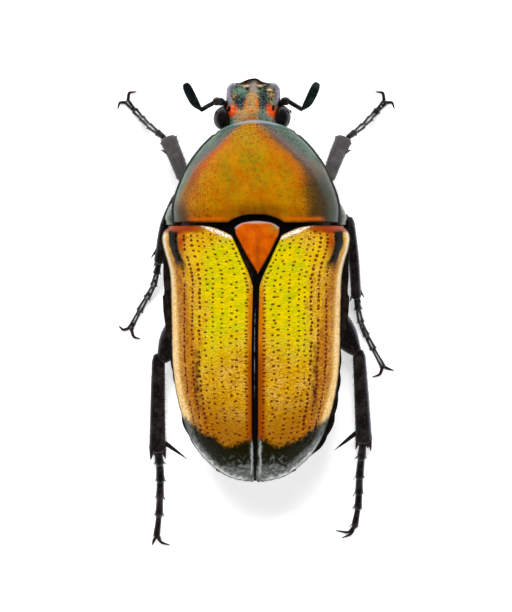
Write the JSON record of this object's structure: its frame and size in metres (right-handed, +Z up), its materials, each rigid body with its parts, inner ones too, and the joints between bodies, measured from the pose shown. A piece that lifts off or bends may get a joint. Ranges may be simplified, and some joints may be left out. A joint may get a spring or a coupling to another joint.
{
  "type": "flower beetle",
  "caption": "Life-size still model of a flower beetle standing on six feet, with its wing cases closed and its feelers spread.",
  "frame": {"origin": "on the floor, under the middle of the whole figure's box", "axes": "+Y towards the head, +X to the animal's right, +Z up"},
  "size_m": [0.0174, 0.0291, 0.0102],
  "materials": {
    "wing_case": "glossy golden yellow-green cuticle with rows of dark pits",
    "thorax_shell": "glossy orange cuticle with a green-grey border and fine pits",
    "head": "pitted blue-black and green cuticle with an orange ridge",
    "eye": "polished black",
    "feeler": "satin green-black",
    "side_plate": "pale green-grey cuticle",
    "underside": "glossy black-brown cuticle",
    "leg": "glossy black-brown cuticle with a grey sheen"
  },
  "bodies": {
    "root": {"head": "head", "mouthparts": "underside", "eye_left": "eye", "eye_right": "eye", "antenna_left": "feeler", "antenna_right": "feeler", "club_left": "feeler", "club_right": "feeler", "pronotum": "thorax_shell", "prosternum": "underside", "scutellum": "thorax_shell", "elytron_left": "wing_case", "elytron_right": "wing_case", "epimeron_left": "side_plate", "epimeron_right": "side_plate", "sternum": "underside", "abdomen": "underside", "pygidium": "underside", "coxa_fore_left": "leg", "coxa_fore_right": "leg", "coxa_middle_left": "leg", "coxa_middle_right": "leg", "coxa_hind_left": "leg", "coxa_hind_right": "leg", "femur_fore_left": "leg", "femur_fore_right": "leg", "femur_middle_left": "leg", "femur_middle_right": "leg", "femur_hind_left": "leg", "femur_hind_right": "leg", "tibia_fore_left": "leg", "tibia_fore_right": "leg", "tibia_middle_left": "leg", "tibia_middle_right": "leg", "tibia_hind_left": "leg", "tibia_hind_right": "leg", "tarsus_fore_left": "leg", "tarsus_fore_right": "leg", "tarsus_middle_left": "leg", "tarsus_middle_right": "leg", "tarsus_hind_left": "leg", "tarsus_hind_right": "leg"}
  },
  "joints": []
}
